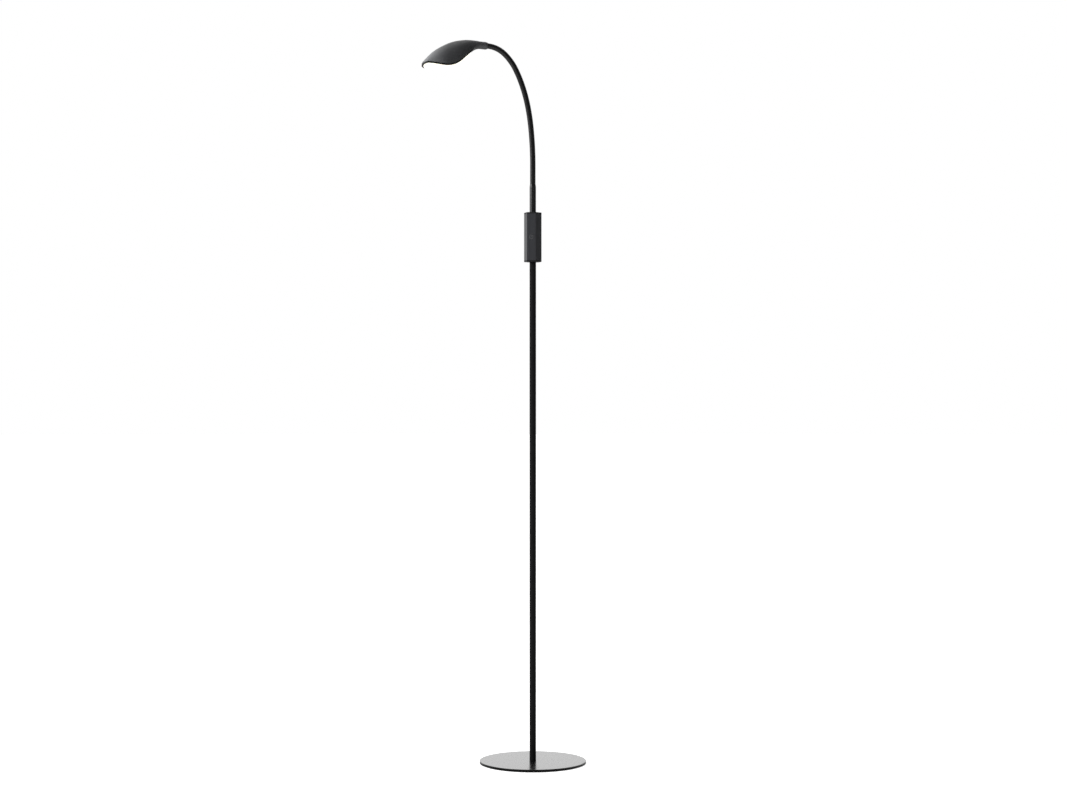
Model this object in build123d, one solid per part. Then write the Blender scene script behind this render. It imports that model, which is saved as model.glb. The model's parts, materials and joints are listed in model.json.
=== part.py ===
from build123d import *
from math import cos, hypot, radians, sin, sqrt
import os

# Gooseneck reading floor lamp, in millimetres, +Z up.
# The origin is the centre of the base's underside, on the pole's axis.
# The neck bends over towards -X. The switch box is turned on the pole, so that its button
# looks between -Y and -X.

# ---------------------------------------------------------------- fits
push_gap = 0.05        # radial gap of a plug, a nipple or a screw in its hole
slip_gap = 0.1         # radial gap of the neck in its ferrule and collar
loose_gap = 0.3        # gap round a button, a board or a diffuser
bead_gap = 0.3         # gap between the ball of one neck bead and the cup of the next

# ---------------------------------------------------------------- base
base_diameter = 220.0
base_thickness = 5.0
base_edge_radius = 1.0
pad_thickness = 1.0
pad_inset = 3.0

# ---------------------------------------------------------------- pole
pole_diameter = 13.4
pole_wall = 1.2
lower_pole_length = 515.0
upper_pole_length = 515.0
joiner_length = 50.0
plug_length = 25.0

foot_screw_diameter = 8.0
foot_screw_length = 24.0
foot_screw_head_diameter = 16.0
foot_screw_head_height = 4.0
foot_screw_key = 5.0
foot_screw_key_depth = 3.0

# ---------------------------------------------------------------- supply lead
lead_diameter = 3.6
lead_passage_diameter = 5.2
inlet_height = 50.0            # of the inlet's axis above the base plate
inlet_bore_diameter = 4.2
grommet_body_diameter = 6.8
grommet_flange_diameter = 9.6
grommet_flange_thickness = 1.3
lead_start_above_inlet = 8.0

# ---------------------------------------------------------------- nipples and nuts
nipple_diameter = 8.0
nipple_grip = 18.0             # how far a nipple goes into a plug
nipple_spare = 2.0             # thread that shows past the nut
nut_flats = 12.0
nut_thickness = 4.0

# ---------------------------------------------------------------- switch box
box_flats = 32.0
box_height = 102.0
box_wall = 2.0
box_corner_radius = 0.8
box_turn = 20.0                # from -Y towards -X, in degrees
cap_thickness = 3.0
cap_edge_chamfer = 0.4
cap_boss_diameter = 19.2
cap_boss_wall = 2.0
cap_boss_height = 3.5
port_diameter = 5.2
port_inset = 2.6               # of a screw port's axis from the housing's inner corner
cap_screw_diameter = 2.9
cap_screw_length = 10.0
cap_screw_head_diameter = 5.4
cap_screw_head_height = 1.6

# ---------------------------------------------------------------- control board
board_width = 22.0
board_length = 74.0
board_thickness = 1.6
board_offset = 5.0             # of the board's rear face from the box's axis
rail_lip = 1.4
rail_reach = 0.8               # how far a rail laps over the board's edge
terminal_width = 10.0
terminal_depth = 8.0
terminal_height = 7.0
terminal_end_margin = 2.0
switch_side = 6.0
switch_height = 3.6
plunger_diameter = 3.2
plunger_proud = 1.2
plunger_sunk = 1.3
end_part_inset = 10.0          # of the outermost small parts from the board's ends
coil_side = 7.0
coil_height = 4.0
coil_corner_radius = 1.0
chip_length = 5.0
chip_width = 4.0
chip_height = 1.5
capacitor_diameter = 5.0
capacitor_height = 5.0
resistor_count = 5
resistor_pitch = 3.0
resistor_width = 1.25
resistor_length = 2.0
resistor_height = 0.5

# ---------------------------------------------------------------- button
button_diameter = 12.0
button_travel = 0.8
button_proud = 0.3
button_edge_radius = 0.25
button_flange_diameter = 14.4
button_flange_thickness = 1.2
button_stem_diameter = 4.0
symbol_diameter = 8.6
symbol_line = 0.8
symbol_depth = 0.2
symbol_gap = 3.0
symbol_bar_length = 4.4

# ---------------------------------------------------------------- neck
stub_length = 44.0
stub_wall = 0.9
ferrule_length = 14.0
ferrule_taper = 5.0            # length of the ferrule's tapered top
ferrule_lip = 0.3              # wall of the ferrule at its top
neck_diameter = 11.4
neck_length = 321.0            # from the ferrule to the head's collar
neck_turns = (0, 3, 3, 5, 7, 8, 20, 40)   # turn of each bead, in degrees
neck_root_grip = 32.0          # how far the first bead goes down into the ferrule and stub
core_diameter = 8.4
core_wall = 2.1
neck_end_grip = 12.0           # how far the last bead goes into the collar

# ---------------------------------------------------------------- head
collar_diameter = 15.6
collar_length = 17.0
collar_nose_length = 4.0
collar_nose_step = 1.2
shell_wall = 2.0
head_lip_reach = 132.5         # of the front lip from the neck's end
head_lip_radius = 94.0         # of the front lip, seen from above
head_corner_radius = 8.0
head_plan_half_width = 38.0
bezel_height = 3.0
bezel_wall = 3.7
bezel_rear = 30.0              # where the bezel starts, from the neck's end
bezel_ledge = 1.4              # height of the ledge that the diffuser rests on
diffuser_thickness = 2.0
diffuser_proud = 0.7           # of the diffuser's lower face below the rim
diffuser_flange = 1.6
throat_stations = 2            # stations that lie in the closed throat

# Stations along the head: distance from the neck's end, half width, height of the crown
# and height of the rim, both from the collar's axis.
head_stations = (
    (17.0, 7.8, 7.8, -7.8),
    (26.0, 9.8, 8.5, -10.9),
    (34.0, 14.5, 8.6, -17.5),
    (44.0, 21.5, 8.1, -28.2),
    (55.0, 28.5, 6.3, -39.8),
    (66.0, 33.0, 3.6, -47.8),
    (80.0, 35.8, -1.9, -52.5),
    (94.0, 37.0, -9.8, -52.9),
    (108.0, 37.0, -19.7, -52.0),
    (120.0, 36.6, -31.5, -51.7),
    (128.0, 36.2, -41.4, -52.0),
    (135.0, 36.0, -50.2, -52.5),
)

# ---------------------------------------------------------------- light engine
led_board_start = 74.0
led_board_length = 38.0
led_board_width = 52.0
led_board_thickness = 1.6
led_board_level = -44.0        # of the board's lower face from the collar's axis
spreader_thickness = 2.0
led_rows = 4
led_columns = 5
led_pitch_along = 8.0
led_pitch_across = 7.0
led_length = 3.5
led_width = 2.8
led_height = 0.8
led_screw_inset = 4.0
led_screw_half_span = 20.0
led_screw_diameter = 2.4
led_screw_head_diameter = 4.4
led_screw_head_height = 1.4
led_screw_length = 10.0
boss_diameter = 6.0
boss_hole_spare = 1.0
connector_length = 8.0
connector_width = 6.0
connector_height = 5.0
connector_inset = 3.0
head_lead_radius = 12.0
head_lead_slant = 15.0         # reach of the lead's slanting stretch
head_lead_drop = 12.0          # of the lead straight down to the connector

# ---------------------------------------------------------------- worked out
floor_z = 0.0
plate_z = floor_z + pad_thickness
pole_z = plate_z + base_thickness
pole_joint_z = pole_z + lower_pole_length
box_z = pole_joint_z + upper_pole_length
box_top_z = box_z + box_height
button_z = box_z + box_height / 2
ferrule_z = box_top_z + stub_length
neck_root_z = ferrule_z + ferrule_length
inlet_z = pole_z + inlet_height

pole_radius = pole_diameter / 2
pole_bore = pole_radius - pole_wall
stub_bore = pole_radius - stub_wall
passage = lead_passage_diameter / 2
lead_radius = lead_diameter / 2
neck_radius = neck_diameter / 2
face_distance = box_flats / 2
wall_inside = face_distance - box_wall
board_front = board_offset + board_thickness
bead_length = neck_length / len(neck_turns)
led_board_top = led_board_level + led_board_thickness
spreader_top = led_board_top + spreader_thickness


# ---------------------------------------------------------------- helpers
def rod(radius, bottom, top):
    """An upright cylinder on the lamp's axis, between two heights."""
    return Pos(0, 0, bottom) * extrude(Circle(radius), top - bottom)


def tube(outer, inner, bottom, top):
    return Pos(0, 0, bottom) * extrude(Circle(outer) - Circle(inner), top - bottom)


def block(x, y, z):
    """A box between two values on each axis, each given as a (low, high) pair."""
    size = [high - low for low, high in (x, y, z)]
    centre = [(high + low) / 2 for low, high in (x, y, z)]
    return Pos(*centre) * Box(*size)


def hexagon(flats, corner=0.0):
    """A hexagon with two of its sides square to Y."""
    outline = RegularPolygon(flats / 2, 6, major_radius=False)
    return fillet(outline.vertices(), corner) if corner else outline


def joined(shapes):
    """Adds separate solids up to one node."""
    shapes = list(shapes)
    total = shapes[0]
    for shape in shapes[1:]:
        total += shape
    return total


# ---------------------------------------------------------------- base and pole
def base_plate():
    plate = rod(base_diameter / 2, plate_z, pole_z)
    plate = fillet(plate.edges().group_by(Axis.Z)[-1], base_edge_radius)
    return plate - foot_screw_body(push_gap, 0)


def base_pad():
    return rod(base_diameter / 2 - pad_inset, floor_z, plate_z)


def foot_screw_body(gap, length):
    """The countersunk screw's outline, grown by a gap. It also cuts the plate's hole."""
    head_radius = foot_screw_head_diameter / 2 + gap
    shank_radius = foot_screw_diameter / 2 + gap
    shank_top = max(plate_z + length, pole_z)
    head = Cone(head_radius, shank_radius, foot_screw_head_height)
    head = Pos(0, 0, plate_z + foot_screw_head_height / 2) * head
    return head + rod(shank_radius, plate_z, shank_top)


def foot_screw():
    key = extrude(hexagon(foot_screw_key), foot_screw_key_depth)
    return foot_screw_body(0, foot_screw_length) - Pos(0, 0, plate_z) * key


def threaded_plug(bore, hole_radius, bottom):
    """A plug that fills the end of a tube and takes a screw or a nipple."""
    return tube(bore - push_gap, hole_radius + push_gap, bottom, bottom + plug_length)


def grommet_axis(shape):
    """Turns a shape that is built along +Z so that it runs out of the back of the pole."""
    return Pos(0, 0, inlet_z) * Rot(-90, 0, 0) * shape


def pole_lower():
    hole = grommet_axis(extrude(Circle(grommet_body_diameter / 2 + push_gap), pole_diameter))
    return tube(pole_radius, pole_bore, pole_z, pole_joint_z) - hole


def pole_upper():
    return tube(pole_radius, pole_bore, pole_joint_z, box_z)


def pole_joiner():
    low = pole_joint_z - joiner_length / 2
    return tube(pole_bore - push_gap, passage, low, low + joiner_length)


def cable_grommet():
    flange_top = pole_radius + grommet_flange_thickness
    body = extrude(Circle(grommet_body_diameter / 2), flange_top)
    flange = extrude(Circle(grommet_flange_diameter / 2), flange_top)
    inside = rod(pole_bore, inlet_z - pole_diameter, inlet_z + pole_diameter)
    around = rod(pole_radius + push_gap, inlet_z - pole_diameter, inlet_z + pole_diameter)
    grommet = (grommet_axis(body) - inside) + (grommet_axis(flange) - around)
    return grommet - grommet_axis(extrude(Circle(inlet_bore_diameter / 2), flange_top))


def pole_lead():
    return rod(lead_radius, inlet_z + lead_start_above_inlet, lower_terminal_z)


# ---------------------------------------------------------------- switch box
lower_terminal_z = button_z - board_length / 2 + terminal_end_margin
upper_terminal_z = button_z + board_length / 2 - terminal_end_margin
port_radius_from_axis = wall_inside * 2 / sqrt(3) - port_inset
bottom_nut_z = box_z + cap_thickness
top_nut_z = box_top_z - cap_thickness - nut_thickness


def turned(shape):
    """Turns a shape built with the button towards -Y to where the box stands."""
    return Rot(0, 0, -box_turn) * shape


def on_face(shape):
    """Places a shape that is built outwards along +Z, from the axis, behind the button."""
    return turned(Pos(0, 0, button_z) * Rot(90, 0, 0) * shape)


def at_ports(shape):
    return joined(Pos(side * port_radius_from_axis, 0, 0) * shape for side in (-1, 1))


def box_housing():
    low, high = box_z + cap_thickness, box_top_z - cap_thickness
    outside = Pos(0, 0, low) * extrude(hexagon(box_flats, box_corner_radius), high - low)
    inside = Pos(0, 0, low) * extrude(hexagon(2 * wall_inside), high - low)
    edge = board_width / 2
    rail_y = (-board_front - rail_lip, -board_offset + rail_lip)
    rails = joined(
        block(sorted((side * (edge - rail_reach), side * box_flats)), rail_y, (low, high))
        for side in (-1, 1)
    )
    slot_y = (-board_front - loose_gap, -board_offset + loose_gap)
    slot = block((-edge - loose_gap, edge + loose_gap), slot_y, (low, high))
    ports = at_ports(rod(port_diameter / 2, low, high))
    housing = (outside - inside) + ((rails + ports) & inside) - slot
    housing -= at_ports(rod(cap_screw_diameter / 2 + push_gap, low, high))
    hole = Pos(0, -face_distance, button_z) * Rot(90, 0, 0) * Cylinder(
        button_diameter / 2 + loose_gap, 2 * box_wall + loose_gap
    )
    return turned(housing - hole)


def box_cap():
    """An end cap that lies on z = 0 with its inner face up."""
    plate = extrude(hexagon(box_flats, box_corner_radius), cap_thickness)
    plate = chamfer(plate.edges().group_by(Axis.Z)[0], cap_edge_chamfer)
    boss = cap_boss_diameter / 2
    plate += tube(boss, boss - cap_boss_wall, cap_thickness, cap_thickness + cap_boss_height)
    plate -= rod(nipple_diameter / 2 + push_gap, 0, cap_thickness)
    plate -= at_ports(rod(cap_screw_diameter / 2 + push_gap, 0, cap_thickness))
    plate -= at_ports(rod(cap_screw_head_diameter / 2 + push_gap, 0, cap_screw_head_height))
    return plate


def cap_screw_pair():
    head = rod(cap_screw_head_diameter / 2, 0, cap_screw_head_height)
    return at_ports(head + rod(cap_screw_diameter / 2, 0, cap_screw_length))


def at_bottom(shape):
    return turned(Pos(0, 0, box_z) * shape)


def at_top(shape):
    """Places a shape that is built upwards from a cap's outer face, upside down, on the top."""
    return turned(Pos(0, 0, box_top_z) * Rot(180, 0, 0) * shape)


def nipple(outer_face, inwards):
    """A threaded nipple from inside a plug, through a cap that starts at outer_face, past its nut."""
    far = outer_face + inwards * (cap_thickness + nut_thickness + nipple_spare)
    low, high = sorted((outer_face - inwards * nipple_grip, far))
    return tube(nipple_diameter / 2, passage, low, high)


def nut(bottom):
    outline = hexagon(nut_flats) - Circle(nipple_diameter / 2 + push_gap)
    return turned(Pos(0, 0, bottom) * extrude(outline, nut_thickness))


def control_board():
    half = board_width / 2
    span = (button_z - board_length / 2, button_z + board_length / 2)
    return turned(block((-half, half), (-board_front, -board_offset), span))


def board_parts():
    """A coil, a driver chip, a capacitor and a row of resistors on the board's front."""
    end = board_length / 2 - end_part_inset
    middle = (end + switch_side / 2) * 3 / 5
    coil = extrude(RectangleRounded(coil_side, coil_side, coil_corner_radius), coil_height)
    chip = extrude(Rectangle(chip_length, chip_width), chip_height)
    capacitor = extrude(Circle(capacitor_diameter / 2), capacitor_height)
    resistor = extrude(Rectangle(resistor_width, resistor_length), resistor_height)
    half_row = (resistor_count - 1) / 2
    row = [Pos((number - half_row) * resistor_pitch, end, 0) * resistor for number in range(resistor_count)]
    loose = [Pos(0, -middle, 0) * coil, Pos(0, -end, 0) * chip, Pos(0, middle, 0) * capacitor]
    return on_face(Pos(0, 0, board_front) * joined(loose + row))


def terminal_block(bottom):
    half = terminal_width / 2
    reach = (-board_offset, terminal_depth - board_offset)
    return turned(block((-half, half), reach, (bottom, bottom + terminal_height)))


def switch_bore():
    return board_front + switch_height - plunger_sunk - button_travel - loose_gap


def tact_switch():
    top = board_front + switch_height
    body = Pos(0, 0, board_front) * extrude(Rectangle(switch_side, switch_side), switch_height)
    return on_face(body - rod(plunger_diameter / 2 + slip_gap, switch_bore(), top))


def switch_plunger():
    top = board_front + switch_height
    return on_face(rod(plunger_diameter / 2, top - plunger_sunk, top + plunger_proud))


def power_symbol(bottom, top):
    """A broken ring with a bar in its gap."""
    outer = symbol_diameter / 2
    ring = Circle(outer) - Circle(outer - symbol_line)
    ring -= Pos(0, outer) * Rectangle(symbol_gap, symbol_diameter)
    bar = Pos(0, outer - symbol_bar_length / 2) * Rectangle(symbol_line, symbol_bar_length)
    return Pos(0, 0, bottom) * extrude(ring + bar, top - bottom)


def power_button():
    front = face_distance + button_proud
    flange_front = wall_inside - loose_gap
    flange_back = flange_front - button_flange_thickness
    cap = rod(button_diameter / 2, flange_back, front)
    cap = fillet(cap.edges().group_by(Axis.Z)[-1], button_edge_radius)
    cap += rod(button_flange_diameter / 2, flange_back, flange_front)
    cap += rod(button_stem_diameter / 2, board_front + switch_height + plunger_proud, flange_back)
    return on_face(cap - power_symbol(front - symbol_depth, front))


# ---------------------------------------------------------------- neck
def neck_track():
    """The neck's pivots, as (x, z, tilt) from the root to the collar. Tilt 0 points up."""
    x, z, tilt = 0.0, neck_root_z, 0.0
    track = [(x, z, tilt)]
    for turn in neck_turns:
        half = radians(turn) / 2
        chord = bead_length * (sin(half) / half if turn else 1)
        middle = radians(tilt) + half
        x, z, tilt = x - chord * sin(middle), z + chord * cos(middle), tilt + turn
        track.append((x, z, tilt))
    return track


track = neck_track()


def pivot_plane(number):
    """A plane across the neck at a pivot, with its normal along the neck."""
    x, z, tilt = track[number]
    normal = (-sin(radians(tilt)), 0, cos(radians(tilt)))
    return Plane(origin=(x, 0, z), x_dir=(0, 1, 0), z_dir=normal)


def bead_path(number):
    """The centre line of a bead: an arc, or a straight line where it doesn't turn."""
    start, end = pivot_plane(number), pivot_plane(number + 1)
    if neck_turns[number] == 0:
        return Line(start.origin, end.origin)
    x, z, tilt = track[number]
    quarter = radians(neck_turns[number]) / 4
    chord = bead_length / 2 * sin(quarter) / quarter
    lean = radians(tilt) + quarter
    middle = (x - chord * sin(lean), 0, z + chord * cos(lean))
    return ThreePointArc(start.origin, middle, end.origin)


def bead(number, outer, inner, root_z):
    """One layer of a bead: a tube with a ball at its far pivot and a cup round its near one."""
    ring = Circle(outer) - Circle(inner) if inner else Circle(outer)
    start, end = pivot_plane(number), pivot_plane(number + 1)
    layer = sweep(start * ring, path=bead_path(number))
    if number == 0:
        layer += Pos(0, 0, root_z) * extrude(ring, neck_root_z - root_z)
    else:
        layer -= Pos(*start.origin) * Sphere(neck_radius + bead_gap)
    if number == len(neck_turns) - 1:
        return layer + end * extrude(ring, neck_end_grip)
    ball = (end * extrude(ring, neck_radius)) & (Pos(*end.origin) * Sphere(neck_radius))
    return layer + ball


def neck_beads():
    """The sleeve, steel core and lead of every bead, as (name, shape) pairs."""
    core_radius = core_diameter / 2
    root = neck_root_z - neck_root_grip
    layers = (
        ("neck_sleeve", neck_radius, core_radius + push_gap, root),
        ("neck_core", core_radius, core_radius - core_wall, root),
        ("neck_lead", lead_radius, 0, upper_terminal_z),
    )
    for name, outer, inner, layer_root in layers:
        for number in range(len(neck_turns)):
            yield f"{name}_{number + 1}", bead(number, outer, inner, layer_root)


def stub_tube():
    return tube(pole_radius, stub_bore, box_top_z, ferrule_z)


def neck_ferrule():
    bore = neck_radius + slip_gap
    taper = Cone(pole_radius, bore + ferrule_lip, ferrule_taper)
    taper = Pos(0, 0, neck_root_z - ferrule_taper / 2) * taper
    straight = rod(pole_radius, ferrule_z, neck_root_z - ferrule_taper)
    return straight + taper - rod(bore, ferrule_z, neck_root_z)


# ---------------------------------------------------------------- head
# Everything here is built with X forwards along the collar and Z up, from the neck's end.
def in_head(shape):
    x, z, tilt = track[-1]
    lean = radians(tilt)
    forwards, upwards = (-sin(lean), 0, cos(lean)), (cos(lean), 0, sin(lean))
    return Plane(origin=(x, 0, z), x_dir=forwards, z_dir=upwards) * shape


def along(radius, start, end):
    """A rod on the collar's axis."""
    return Plane.YZ.offset(start) * extrude(Circle(radius), end - start)


def plan(inset):
    """What lies behind the front lip, seen from above, drawn in by an inset."""
    half, lip = head_plan_half_width - inset, head_lip_reach - inset
    radius = head_lip_radius - inset
    corner = lip - radius + sqrt(radius**2 - half**2)
    front = ThreePointArc((corner, -half), (lip, 0), (corner, half))
    sides = Polyline((corner, half), (0, half), (0, -half), (corner, -half))
    outline = make_face([front, *sides.edges()])
    corners = outline.vertices().group_by(Axis.X)[-1]
    depth = 4 * head_plan_half_width
    outline = fillet(corners, head_corner_radius - min(inset, head_corner_radius / 2))
    return Pos(0, 0, -depth / 2) * extrude(outline, depth)


def head_outside():
    """The whole head as one solid, with a flat underside along the rim."""
    sections = []
    for number, (at, half, crown, rim) in enumerate(head_stations):
        side = rim
        if number == 0:
            side = 0.0
        elif number < throat_stations:
            side = rim / 2
        over = EllipticalCenterArc((0, side), half, crown - side, arc_size=180)
        if side > rim:
            under = EllipticalCenterArc((0, side), half, side - rim, 180, arc_size=180)
        else:
            under = Line((-half, side), (half, side))
        sections.append(Plane.YZ.offset(at) * make_face([over, under]))
    return loft(sections) & plan(0)


def head_inside(inset):
    """The hollow under the shell, drawn in by an inset and open downwards past the rim."""
    sections = []
    for number in range(throat_stations, len(head_stations)):
        at, half, crown, rim = head_stations[number]
        near = head_stations[number - 1]
        far = head_stations[min(number + 1, len(head_stations) - 1)]
        slope = (far[2] - near[2]) / (far[0] - near[0])
        top = max(crown - inset * hypot(1, slope), rim + shell_wall / 4)
        width, floor = half - inset, rim - 4 * bezel_height
        over = EllipticalCenterArc((0, rim), width, top - rim, arc_size=180)
        sides = Polyline((-width, rim), (-width, floor), (width, floor), (width, rim))
        sections.append(Plane.YZ.offset(at) * make_face([over, *sides.edges()]))
    return loft(sections) & plan(inset)


def under_rim(rise):
    """Everything under a surface that runs a rise above the rim."""
    points = [(at, rim + rise) for at, _, _, rim in head_stations[1:]]
    low = 2 * head_stations[-1][3]
    line = Spline(*points)
    sides = Polyline(points[-1], (points[-1][0], low), (points[0][0], low), points[0])
    profile = make_face([line, *sides.edges()])
    return extrude(Plane.XZ * profile, 2 * head_plan_half_width, both=True)


def behind_bezel():
    reach = 2 * head_plan_half_width
    return block((0, bezel_rear), (-reach, reach), (-2 * reach, reach))


def screw_places():
    front = led_board_start + led_board_length - led_screw_inset
    rear = led_board_start + led_screw_inset
    return [(at, side * led_screw_half_span) for at in (rear, front) for side in (-1, 1)]


outside = head_outside()
rim_band = under_rim(bezel_height) - behind_bezel()


def head_shell():
    shell = outside - head_inside(shell_wall) - rim_band
    boss = extrude(Circle(boss_diameter / 2), collar_diameter - spreader_top)
    bosses = joined(Pos(at, across, spreader_top) * boss for at, across in screw_places())
    shell += bosses & head_inside(shell_wall / 2) & outside
    for at, across in screw_places():
        hole = extrude(Circle(led_screw_diameter / 2 + push_gap), boss_hole())
        shell -= Pos(at, across, spreader_top) * hole
    shell += along(neck_radius, neck_end_grip + loose_gap, collar_length)
    return shell - along(passage, neck_end_grip, head_stations[throat_stations][0])


def boss_hole():
    return led_screw_length - led_board_thickness - spreader_thickness + boss_hole_spare


def diffuser_bezel():
    seat = head_inside(shell_wall + push_gap) - under_rim(bezel_ledge)
    return (outside & rim_band) - seat - head_inside(bezel_wall)


def diffuser():
    """A shallow dish with its flange on the bezel's ledge and its face just below the rim."""
    lens_inset = bezel_wall + loose_gap
    flange = head_inside(shell_wall + loose_gap) & under_rim(bezel_ledge + diffuser_flange)
    lens = head_inside(lens_inset) & under_rim(bezel_ledge)
    pocket = head_inside(lens_inset + diffuser_thickness) - under_rim(diffuser_thickness - diffuser_proud)
    dish = (flange - under_rim(bezel_ledge)) + (lens - under_rim(-diffuser_proud))
    return dish - pocket - behind_bezel()


def head_collar():
    radius = collar_diameter / 2
    body = along(radius, collar_nose_length, collar_length)
    nose = Pos(0, 0, collar_nose_length / 2) * Cone(radius - collar_nose_step, radius, collar_nose_length)
    return body + Rot(0, 90, 0) * nose - along(neck_radius + slip_gap, 0, collar_length)


def led_plate(bottom, thickness):
    half = led_board_width / 2
    span = (led_board_start, led_board_start + led_board_length)
    plate = block(span, (-half, half), (bottom, bottom + thickness))
    for at, across in screw_places():
        plate -= Pos(at, across, bottom) * extrude(Circle(led_screw_diameter / 2 + slip_gap), thickness)
    return plate


def led_chips():
    middle = led_board_start + led_board_length / 2
    chip = Box(led_length, led_width, led_height)
    chips = []
    for row in range(led_rows):
        for column in range(led_columns):
            at = middle + (row - (led_rows - 1) / 2) * led_pitch_along
            across = (column - (led_columns - 1) / 2) * led_pitch_across
            chips.append(Pos(at, across, led_board_level - led_height / 2) * chip)
    return joined(chips)


def led_screws():
    screw = rod(led_screw_head_diameter / 2, -led_screw_head_height, 0)
    screw += rod(led_screw_diameter / 2, 0, led_screw_length)
    return joined(Pos(at, across, led_board_level) * screw for at, across in screw_places())


connector_at = led_board_start + connector_inset + connector_length / 2


def lead_connector():
    half = connector_width / 2
    span = (connector_at - connector_length / 2, connector_at + connector_length / 2)
    return block(span, (-half, half), (spreader_top, spreader_top + connector_height))


def head_lead():
    """The lead from the neck's end through the throat and down to the connector."""
    top = spreader_top + connector_height
    route = [
        (neck_end_grip, 0, 0),
        (head_stations[throat_stations][0] + passage, 0, 0),
        (connector_at - head_lead_slant, 0, top + head_lead_drop + head_lead_slant),
        (connector_at, 0, top + head_lead_drop),
        (connector_at, 0, top),
    ]
    path = FilletPolyline(*route, radius=head_lead_radius)
    return sweep(Plane.YZ.offset(neck_end_grip) * Circle(lead_radius), path=path)


# ---------------------------------------------------------------- all parts
parts = {
    "base_plate": base_plate(),
    "base_pad": base_pad(),
    "foot_screw": foot_screw(),
    "foot_plug": threaded_plug(pole_bore, foot_screw_diameter / 2, pole_z),
    "pole_lower": pole_lower(),
    "pole_joiner": pole_joiner(),
    "pole_upper": pole_upper(),
    "pole_top_plug": threaded_plug(pole_bore, nipple_diameter / 2, box_z - plug_length),
    "cable_grommet": cable_grommet(),
    "pole_lead": pole_lead(),
    "box_housing": box_housing(),
    "box_bottom_cap": at_bottom(box_cap()),
    "box_top_cap": at_top(box_cap()),
    "cap_screws": at_bottom(cap_screw_pair()) + at_top(cap_screw_pair()),
    "lower_nipple": nipple(box_z, 1),
    "upper_nipple": nipple(box_top_z, -1),
    "nipple_nuts": nut(bottom_nut_z) + nut(top_nut_z),
    "control_board": control_board(),
    "board_parts": board_parts(),
    "terminal_blocks": joined(
        terminal_block(bottom) for bottom in (lower_terminal_z, upper_terminal_z - terminal_height)
    ),
    "tact_switch": tact_switch(),
    "switch_plunger": switch_plunger(),
    "power_button": power_button(),
    "stub_tube": stub_tube(),
    "stub_plug": threaded_plug(stub_bore, nipple_diameter / 2, box_top_z),
    "neck_ferrule": neck_ferrule(),
    "head_collar": in_head(head_collar()),
    "head_shell": in_head(head_shell()),
    "diffuser_bezel": in_head(diffuser_bezel()),
    "diffuser": in_head(diffuser()),
    "heat_spreader": in_head(led_plate(led_board_top, spreader_thickness)),
    "led_board": in_head(led_plate(led_board_level, led_board_thickness)),
    "led_chips": in_head(led_chips()),
    "led_screws": in_head(led_screws()),
    "lead_connector": in_head(lead_connector()),
    "head_lead": in_head(head_lead()),
}
parts.update(neck_beads())

os.makedirs("parts", exist_ok=True)
for name, shape in parts.items():
    export_step(shape, f"parts/{name}.step")
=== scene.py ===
import json
from math import cos, pi, radians, sin

import bmesh
import bpy
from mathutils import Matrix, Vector


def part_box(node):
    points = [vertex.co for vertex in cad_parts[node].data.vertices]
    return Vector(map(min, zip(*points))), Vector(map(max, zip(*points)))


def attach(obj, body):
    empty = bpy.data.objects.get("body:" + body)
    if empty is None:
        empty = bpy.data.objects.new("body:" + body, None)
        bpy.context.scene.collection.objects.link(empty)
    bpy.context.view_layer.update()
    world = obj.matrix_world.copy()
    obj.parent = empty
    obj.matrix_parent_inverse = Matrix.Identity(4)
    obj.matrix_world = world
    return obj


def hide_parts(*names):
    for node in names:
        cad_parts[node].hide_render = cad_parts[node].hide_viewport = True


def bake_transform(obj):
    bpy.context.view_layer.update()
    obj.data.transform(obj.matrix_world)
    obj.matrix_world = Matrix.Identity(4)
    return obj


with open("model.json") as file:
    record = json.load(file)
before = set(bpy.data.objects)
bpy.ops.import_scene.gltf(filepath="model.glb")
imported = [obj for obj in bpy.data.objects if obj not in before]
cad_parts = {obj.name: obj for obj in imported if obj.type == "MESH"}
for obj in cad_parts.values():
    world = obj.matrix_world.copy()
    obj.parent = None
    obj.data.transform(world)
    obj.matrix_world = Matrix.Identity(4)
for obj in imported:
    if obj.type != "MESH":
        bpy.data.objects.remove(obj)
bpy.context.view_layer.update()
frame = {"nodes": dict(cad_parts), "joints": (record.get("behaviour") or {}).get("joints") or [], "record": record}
nodes = frame["nodes"]

# ---------------------------------------------------------------- sizes, in metres and degrees
image_width = 1067
metres_per_pixel = 0.002068        # at the pole's distance
pole_pixel = 532.8                 # the pole's column
camera_distance = 4.2
camera_height = 0.7507
camera_turn = -9.0                 # from straight in front, towards the side the head points to
sensor_width = 36.0                # millimetres
dark_side_turn = 38.0              # of the studio's dark side, from the camera to the right

# The studio, as how far a direction points to the dark side: white up to one value, dark from another on,
# and the strength there. Matt surfaces are lit by the first, and shining ones reflect the second.
matt_studio = (-0.7, 0.5, 0.14)
gloss_studio = (-0.2, 0.5, 0.06)
floor_radius = 40
floor_drop = 0.0002
floor_colour = 0.9
floor_lift = 0.8                   # what the floor glows to the camera alone, so that it shows white
floor_sides = 96

noise_low = 0.3                    # the part of a noise's range that its values fill
noise_high = 0.7
drift_lumps = 45.0                 # per metre, of a colour's drift
roughness_lumps = 160.0            # per metre, of a roughness
roughness_change = 0.12
glow_lumps = 90.0
upright = 0.3                      # a normal's share upwards, up to which a face counts as upright
level = 0.8
upright_gloss = 0.12               # of the gloss of a level face
painted_highlight_share = 0.45                 # of the head's length, over which its paint lightens: a painted highlight

neck_turns = (0, 3, 3, 5, 7, 8, 20, 40)   # of each bead, in degrees
neck_tucked = 0.010                # of the sleeve, inside the ferrule and inside the collar
sleeve_sides = 48
sleeve_step = 0.0015
mid_bead = 0.5
bend_reach = 0.46                  # of a bead, to each side of a pivot

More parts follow.
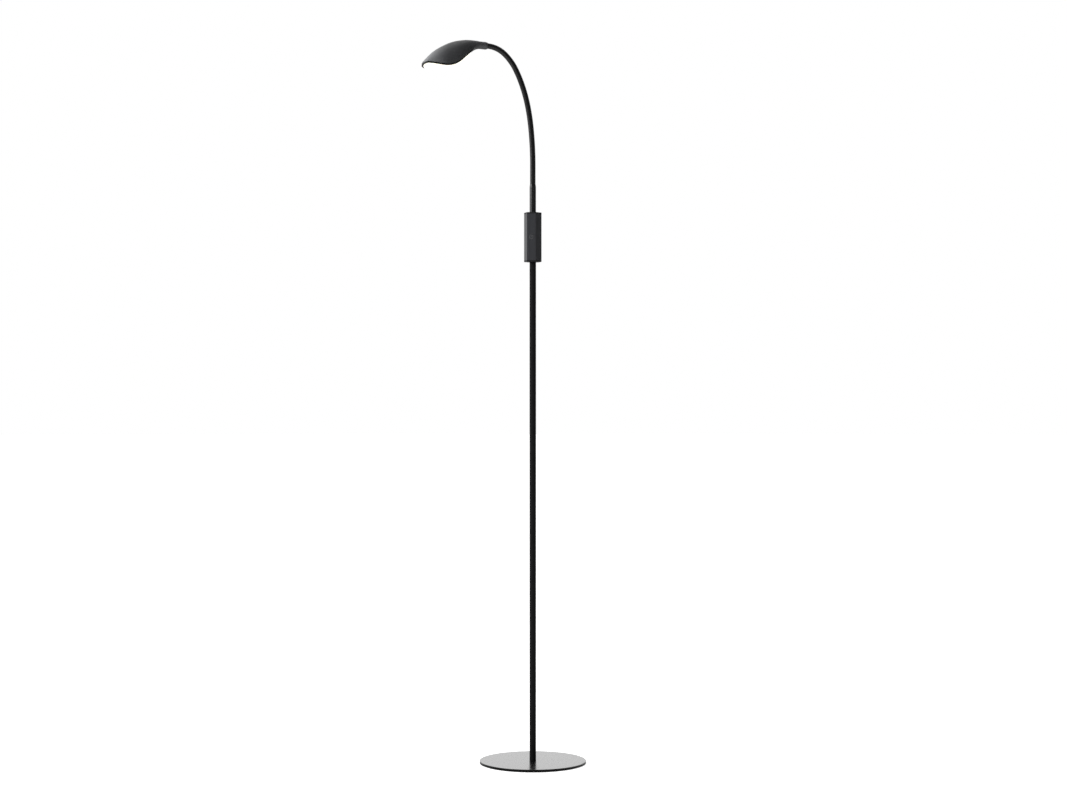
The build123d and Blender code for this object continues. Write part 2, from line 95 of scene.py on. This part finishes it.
box_turn = 20.0                    # of the switch box, from -Y towards -X
face_distance = 0.016              # of the box's face from its axis
button_proud = 0.0003
symbol_diameter = 0.0086
symbol_line = 0.0008
symbol_gap = 0.003
symbol_bar_length = 0.0044
symbol_sunk = 0.0002
symbol_thickness = 0.00015
symbol_steps = 48


# ---------------------------------------------------------------- materials
def new_material(name):
    material = bpy.data.materials.new(name)
    material.use_nodes = True
    tree = material.node_tree
    shader = next(n for n in tree.nodes if n.type == "BSDF_PRINCIPLED")
    return material, tree, shader


def noise(tree, scale, detail=3.0, stretch=(1, 1, 1)):
    """A noise in the object's own coordinates, with its scale in lumps per metre."""
    where = tree.nodes.new("ShaderNodeTexCoord")
    mapping = tree.nodes.new("ShaderNodeMapping")
    mapping.inputs["Scale"].default_value = stretch
    texture = tree.nodes.new("ShaderNodeTexNoise")
    texture.inputs["Scale"].default_value = scale
    texture.inputs["Detail"].default_value = detail
    tree.links.new(where.outputs["Object"], mapping.inputs["Vector"])
    tree.links.new(mapping.outputs["Vector"], texture.inputs["Vector"])
    return texture.outputs["Fac"]


def spread(tree, value, low, high):
    """Maps a noise to a range."""
    ranger = tree.nodes.new("ShaderNodeMapRange")
    ranger.inputs["From Min"].default_value = noise_low
    ranger.inputs["From Max"].default_value = noise_high
    ranger.inputs["To Min"].default_value = low
    ranger.inputs["To Max"].default_value = high
    tree.links.new(value, ranger.inputs["Value"])
    return ranger.outputs["Result"]


def bumped(tree, shader, height, depth):
    bump = tree.nodes.new("ShaderNodeBump")
    bump.inputs["Distance"].default_value = depth
    tree.links.new(height, bump.inputs["Height"])
    tree.links.new(bump.outputs["Normal"], shader.inputs["Normal"])


def shaded(tree, shader, colour, amount, scale, stretch=(1, 1, 1)):
    """Lets a colour drift a little lighter and darker over the surface."""
    mix = tree.nodes.new("ShaderNodeMix")
    mix.data_type = "RGBA"
    darker = [c * (1 - amount) for c in colour]
    lighter = [min(1.0, c * (1 + amount)) for c in colour]
    mix.inputs["A"].default_value = (*darker, 1)
    mix.inputs["B"].default_value = (*lighter, 1)
    tree.links.new(spread(tree, noise(tree, scale, 4.0, stretch), 0, 1), mix.inputs["Factor"])
    tree.links.new(mix.outputs["Result"], shader.inputs["Base Color"])


def finish(name, colour, roughness, grain, depth, metallic=0.0, ior=1.5, coat=0.0, coat_roughness=0.1,
           coat_ior=1.5, drift=0.12, stretch=(1, 1, 1)):
    """A surface with a fine grain, a roughness that varies and a colour that drifts."""
    material, tree, shader = new_material(name)
    shader.inputs["Metallic"].default_value = metallic
    shader.inputs["IOR"].default_value = ior
    shader.inputs["Coat Weight"].default_value = coat
    shader.inputs["Coat Roughness"].default_value = coat_roughness
    shader.inputs["Coat IOR"].default_value = coat_ior
    shaded(tree, shader, colour, drift, drift_lumps, stretch)
    lumps = noise(tree, roughness_lumps, 3.0, stretch)
    rough = spread(tree, lumps, roughness * (1 - roughness_change), roughness * (1 + roughness_change))
    tree.links.new(rough, shader.inputs["Roughness"])
    bumped(tree, shader, noise(tree, grain, 2.0, stretch), depth)
    return material


def dull_sides(material):
    """Keeps a finish glossy on level faces and leaves upright ones, like a plate's rim, dull."""
    tree = material.node_tree
    shader = next(n for n in tree.nodes if n.type == "BSDF_PRINCIPLED")
    surface = tree.nodes.new("ShaderNodeNewGeometry")
    split = tree.nodes.new("ShaderNodeSeparateXYZ")
    tree.links.new(surface.outputs["Normal"], split.inputs[0])
    for socket, most in (("Coat Weight", 1.0), ("Specular IOR Level", 0.5)):
        ranger = tree.nodes.new("ShaderNodeMapRange")
        ranger.inputs["From Min"].default_value = upright
        ranger.inputs["From Max"].default_value = level
        ranger.inputs["To Min"].default_value = upright_gloss * most
        ranger.inputs["To Max"].default_value = most
        tree.links.new(split.outputs["Z"], ranger.inputs["Value"])
        tree.links.new(ranger.outputs["Result"], shader.inputs[socket])


def painted_front_highlight(material, towards, share):
    """Paints a highlight: lets a finish fade to a lighter colour over the front share of a piece, at its -X end,
    in place of a lamp's reflection.
    """
    tree = material.node_tree
    shader = next(n for n in tree.nodes if n.type == "BSDF_PRINCIPLED")
    plain = shader.inputs["Base Color"].links[0].from_socket
    where = tree.nodes.new("ShaderNodeTexCoord")
    split = tree.nodes.new("ShaderNodeSeparateXYZ")
    tree.links.new(where.outputs["Generated"], split.inputs[0])
    ranger = tree.nodes.new("ShaderNodeMapRange")
    ranger.interpolation_type = "SMOOTHSTEP"
    ranger.inputs["From Min"].default_value = share
    ranger.inputs["From Max"].default_value = 0.0
    tree.links.new(split.outputs["X"], ranger.inputs["Value"])
    mix = tree.nodes.new("ShaderNodeMix")
    mix.data_type = "RGBA"
    # the lighter colour of the painted highlight
    mix.inputs["B"].default_value = (*towards, 1)
    tree.links.new(ranger.outputs["Result"], mix.inputs["Factor"])
    tree.links.new(plain, mix.inputs["A"])
    tree.links.new(mix.outputs["Result"], shader.inputs["Base Color"])
    return material


def opal():
    """The lit diffuser: opal acrylic with a warm white glow."""
    material, tree, shader = new_material("opal_diffuser")
    shader.inputs["Base Color"].default_value = (0.9, 0.89, 0.8, 1)
    shader.inputs["Roughness"].default_value = 0.35
    shader.inputs["Subsurface Weight"].default_value = 0.2
    shader.inputs["Emission Color"].default_value = (1.0, 0.97, 0.8, 1)
    glow = spread(tree, noise(tree, glow_lumps, 1.0), 0.85, 0.95)
    tree.links.new(glow, shader.inputs["Emission Strength"])
    return material


finishes = {
    "base_paint": finish(
        "base_paint", (0.0015, 0.0015, 0.0017), 0.26, 2600, 0.000006, ior=1.58, coat=1.0, coat_roughness=0.2,
        coat_ior=1.5
    ),
    "pad_foam": finish("pad_foam", (0.02, 0.02, 0.02), 0.9, 1500, 0.0002),
    "zinc_steel": finish("zinc_steel", (0.6, 0.6, 0.62), 0.35, 900, 0.00002, metallic=1.0),
    "pole_paint": finish("pole_paint", (0.0105, 0.0105, 0.011), 0.5, 2600, 0.00003, ior=1.12),
    "grommet_rubber": finish("grommet_rubber", (0.014, 0.014, 0.014), 0.6, 1800, 0.00006),
    "lead_sheath": finish("lead_sheath", (0.02, 0.02, 0.02), 0.5, 1400, 0.00004),
    "box_aluminium": finish(
        "box_aluminium", (0.028, 0.029, 0.033), 0.36, 1500, 0.00002, ior=1.5, stretch=(6, 6, 0.25)
    ),
    "cap_plastic": finish("cap_plastic", (0.008, 0.008, 0.009), 0.5, 2200, 0.00004, ior=1.35),
    "black_screw": finish("black_screw", (0.03, 0.03, 0.03), 0.4, 900, 0.00002, metallic=1.0),
    "circuit_board": finish("circuit_board", (0.02, 0.13, 0.05), 0.35, 700, 0.00003),
    "component_plastic": finish("component_plastic", (0.03, 0.03, 0.03), 0.5, 1200, 0.00003),
    "terminal_plastic": finish("terminal_plastic", (0.7, 0.7, 0.67), 0.4, 1200, 0.00003, drift=0.03),
    "button_plastic": finish("button_plastic", (0.0315, 0.0325, 0.0365), 0.36, 2000, 0.00001, ior=1.45),
    "ferrule_paint": finish("ferrule_paint", (0.007, 0.007, 0.0075), 0.24, 2600, 0.00001, ior=1.7),
    "neck_rubber": finish("neck_rubber", (0.006, 0.006, 0.0063), 0.34, 2200, 0.00003, ior=1.44),
    "core_steel": finish("core_steel", (0.35, 0.35, 0.36), 0.4, 900, 0.00004, metallic=1.0),
    "head_paint": finish("head_paint", (0.044, 0.045, 0.047), 0.44, 2400, 0.00002, ior=1.6),
    "bezel_plastic": finish("bezel_plastic", (0.006, 0.006, 0.006), 0.45, 2000, 0.00002, ior=1.25),
    "bare_aluminium": finish("bare_aluminium", (0.7, 0.71, 0.72), 0.4, 900, 0.00003, metallic=1.0),
    "led_board_white": finish("led_board_white", (0.85, 0.85, 0.85), 0.45, 900, 0.00002, drift=0.03),
    "led_phosphor": finish("led_phosphor", (0.9, 0.75, 0.2), 0.3, 900, 0.00002),
    "opal_diffuser": opal(),
    "symbol_print": finish("symbol_print", (0.12, 0.12, 0.125), 0.45, 2600, 0.00001, ior=1.45),
}
dull_sides(finishes["base_paint"])
# The head's shell paint, with a painted highlight that lightens it towards the tip.
finishes["shell_paint_with_painted_highlight"] = painted_front_highlight(
    finish("shell_paint_with_painted_highlight", (0.041, 0.042, 0.0445), 0.44, 2400, 0.00002, ior=1.6),
    (0.2, 0.206, 0.215), painted_highlight_share
)
slots = {part["node"]: part["material_slot"] for part in frame["record"]["subparts"]}
for name, node in nodes.items():
    node.data.materials.clear()
    node.data.materials.append(finishes["shell_paint_with_painted_highlight" if name == "head_shell" else slots[name]])


# ---------------------------------------------------------------- neck
pivots = [Vector(j["pos_m"]) for j in frame["joints"] if j["type"] == "hinge"]
bead_length = pivots[0].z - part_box("neck_ferrule")[1].z
neck_radius = (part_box("neck_sleeve_1")[1].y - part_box("neck_sleeve_1")[0].y) / 2


def neck_point(place):
    """Where the neck's centre line is, and its tilt, at a place counted in beads from the ferrule."""
    here = Vector((0, 0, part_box("neck_ferrule")[1].z))
    if place < 0:
        return here + place * bead_length * Vector((0, 0, 1)), 0.0
    tilt = 0.0
    for number, turn in enumerate(neck_turns):
        share = min(max(place - number, 0), 1)
        half = radians(turn * share) / 2
        chord = bead_length * share * (sin(half) / half if half else 1)
        lean = radians(tilt) + half
        here = here + chord * Vector((-sin(lean), 0, cos(lean)))
        tilt += turn * share
    tilt = radians(tilt)
    past = max(place - len(neck_turns), 0) * bead_length
    return here + past * Vector((-sin(tilt), 0, cos(tilt))), tilt


def sleeve(name, start, end):
    """A stretch of the smooth sleeve between two places along the neck."""
    steps = max(2, round((end - start) * bead_length / sleeve_step))
    mesh = bmesh.new()
    rings = []
    for step in range(steps + 1):
        here, tilt = neck_point(start + (end - start) * step / steps)
        across = Vector((cos(tilt), 0, sin(tilt)))
        ring = []
        for side in range(sleeve_sides):
            angle = 2 * pi * side / sleeve_sides
            out = cos(angle) * across + sin(angle) * Vector((0, 1, 0))
            ring.append(mesh.verts.new(here + neck_radius * out))
        rings.append(ring)
    for low, high in zip(rings, rings[1:]):
        for side in range(sleeve_sides):
            after = (side + 1) % sleeve_sides
            mesh.faces.new((low[side], low[after], high[after], high[side]))
    bmesh.ops.recalc_face_normals(mesh, faces=mesh.faces)
    data = bpy.data.meshes.new(name)
    mesh.to_mesh(data)
    mesh.free()
    data.shade_smooth()
    piece = bpy.data.objects.new(name, data)
    bpy.context.scene.collection.objects.link(piece)
    data.materials.append(finishes["neck_rubber"])
    return piece


def sleeves():
    """The sleeve, cut at the middle of each bead, so that every stretch spans one pivot; the stretches are built
    in their rest curve.
    """
    beads = len(neck_turns)
    tucked = neck_tucked / bead_length
    piece = sleeve("sleeve_root", -tucked, mid_bead)
    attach(piece, "stand")
    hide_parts("neck_sleeve_1")
    for number in range(1, beads):
        piece = sleeve(f"sleeve_{number}", number - mid_bead, number + mid_bead)
        start, end = (tuple(neck_point(number + reach)[0]) for reach in (-bend_reach, bend_reach))
        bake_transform(piece)
        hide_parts(f"neck_sleeve_{number + 1}")
    piece = sleeve("sleeve_end", beads - mid_bead, beads + tucked)
    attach(piece, "head")


sleeves()


# ---------------------------------------------------------------- button
def power_symbol():
    """The pale print in the button's engraving: a broken ring, with a bar in its gap."""
    low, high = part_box("power_button")
    centre = (low + high) / 2
    turn = radians(-box_turn)
    outwards = Vector((sin(turn), -cos(turn), 0))
    sideways = Vector((cos(turn), sin(turn), 0))
    up = Vector((0, 0, 1))
    face = (face_distance + button_proud - symbol_sunk) * outwards + Vector((0, 0, centre.z))
    outer = symbol_diameter / 2
    inner = outer - symbol_line
    mesh = bmesh.new()

    def strip(pairs):
        """A thin raised band between pairs of points, given as (across, up)."""
        rings = []
        for a, b in pairs:
            corners = [(a, 0), (b, 0), (b, symbol_thickness), (a, symbol_thickness)]
            places = [face + x * sideways + z * up + depth * outwards for (x, z), depth in corners]
            rings.append([mesh.verts.new(place) for place in places])
        for first, last in zip(rings, rings[1:]):
            for side in range(4):
                after = (side + 1) % 4
                mesh.faces.new((first[side], first[after], last[after], last[side]))
        mesh.faces.new(rings[0])
        mesh.faces.new(list(reversed(rings[-1])))

    gap = symbol_gap / 2 / outer
    turned = (2 * pi - 2 * gap) / symbol_steps
    angles = [pi / 2 + gap + turned * step for step in range(symbol_steps + 1)]
    strip([((inner * cos(t), inner * sin(t)), (outer * cos(t), outer * sin(t))) for t in angles])
    half = symbol_line / 2
    strip([((-half, z), (half, z)) for z in (outer - symbol_bar_length, outer)])
    bmesh.ops.recalc_face_normals(mesh, faces=mesh.faces)
    data = bpy.data.meshes.new("power_symbol")
    mesh.to_mesh(data)
    mesh.free()
    piece = bpy.data.objects.new("power_symbol", data)
    bpy.context.scene.collection.objects.link(piece)
    data.materials.append(finishes["symbol_print"])
    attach(piece, "button")


power_symbol()


# ---------------------------------------------------------------- camera, floor and light
def toward_camera():
    return Vector((sin(radians(camera_turn)), -cos(radians(camera_turn)), 0))


def set_camera():
    data = bpy.data.cameras.new("camera")
    data.sensor_fit = "HORIZONTAL"
    data.sensor_width = sensor_width
    data.lens = sensor_width * camera_distance / (image_width * metres_per_pixel)
    data.shift_x = (image_width / 2 - pole_pixel) / image_width
    camera = bpy.data.objects.new("camera", data)
    bpy.context.scene.collection.objects.link(camera)
    camera.location = toward_camera() * camera_distance + Vector((0, 0, camera_height))
    camera.rotation_euler = (pi / 2, 0, radians(camera_turn))
    bpy.context.scene.camera = camera


def set_floor():
    """A white floor that keeps a faint shadow under the lamp."""
    bpy.ops.mesh.primitive_circle_add(
        vertices=floor_sides, radius=floor_radius, fill_type="NGON", location=(0, 0, -floor_drop)
    )
    floor = bpy.context.object
    floor.name = "floor"
    material, tree, shader = new_material("floor")
    shader.inputs["Base Color"].default_value = (floor_colour, floor_colour, floor_colour, 1)
    shader.inputs["Roughness"].default_value = 1.0
    shader.inputs["Specular IOR Level"].default_value = 0.0
    shader.inputs["Emission Color"].default_value = (1, 1, 1, 1)
    path = tree.nodes.new("ShaderNodeLightPath")
    lift = tree.nodes.new("ShaderNodeMath")
    lift.operation = "MULTIPLY"
    lift.inputs[1].default_value = floor_lift
    tree.links.new(path.outputs["Is Camera Ray"], lift.inputs[0])
    tree.links.new(lift.outputs[0], shader.inputs["Emission Strength"])
    floor.data.materials.append(material)


def set_world():
    """A white studio. What shines reflects a dark side: the camera's own, and to the right of it."""
    world = bpy.data.worlds.new("studio")
    bpy.context.scene.world = world
    world.use_nodes = True
    tree = world.node_tree
    back = next(n for n in tree.nodes if n.type == "BACKGROUND")
    where = tree.nodes.new("ShaderNodeTexCoord")
    dot = tree.nodes.new("ShaderNodeVectorMath")
    dot.operation = "DOT_PRODUCT"
    turn = radians(camera_turn + dark_side_turn)
    dot.inputs[1].default_value = (sin(turn), -cos(turn), 0)
    tree.links.new(where.outputs["Generated"], dot.inputs[0])
    path = tree.nodes.new("ShaderNodeLightPath")

    def fade(white_from, dark_from, level):
        ranger = tree.nodes.new("ShaderNodeMapRange")
        ranger.interpolation_type = "SMOOTHSTEP"
        ranger.inputs["From Min"].default_value = white_from
        ranger.inputs["From Max"].default_value = dark_from
        ranger.inputs["To Min"].default_value = 1.0
        ranger.inputs["To Max"].default_value = level
        tree.links.new(dot.outputs["Value"], ranger.inputs["Value"])
        return ranger.outputs["Result"]

    pick = tree.nodes.new("ShaderNodeMix")
    tree.links.new(path.outputs["Is Glossy Ray"], pick.inputs["Factor"])
    tree.links.new(fade(*matt_studio), pick.inputs["A"])
    tree.links.new(fade(*gloss_studio), pick.inputs["B"])
    seen = tree.nodes.new("ShaderNodeMath")
    seen.operation = "MAXIMUM"
    tree.links.new(path.outputs["Is Camera Ray"], seen.inputs[0])
    tree.links.new(pick.outputs["Result"], seen.inputs[1])
    tree.links.new(seen.outputs[0], back.inputs["Strength"])
    back.inputs["Color"].default_value = (1, 1, 1, 1)


def softbox(name, place, aim, width, height, power, in_gloss=False):
    """A soft lamp. It lights either what is matt, or only shows as a highlight on what shines."""
    data = bpy.data.lights.new(name, "AREA")
    data.shape = "RECTANGLE"
    data.size = width
    data.size_y = height
    data.energy = power
    lamp = bpy.data.objects.new(name, data)
    bpy.context.scene.collection.objects.link(lamp)
    lamp.location = place
    lamp.rotation_euler = (Vector(aim) - Vector(place)).to_track_quat("-Z", "Y").to_euler()
    lamp.visible_camera = False
    lamp.visible_glossy = in_gloss
    lamp.visible_diffuse = not in_gloss


set_camera()
set_floor()
set_world()
softbox("key", (-3.3, -1.9, 2.6), (0, 0, 0.9), 1.6, 2.4, 120)
softbox("highlight", (-3.2, -0.5, 2.7), (-0.1, 0, 1.4), 2.2, 2.2, 60, in_gloss=True)

bpy.context.scene.view_settings.view_transform = "Standard"
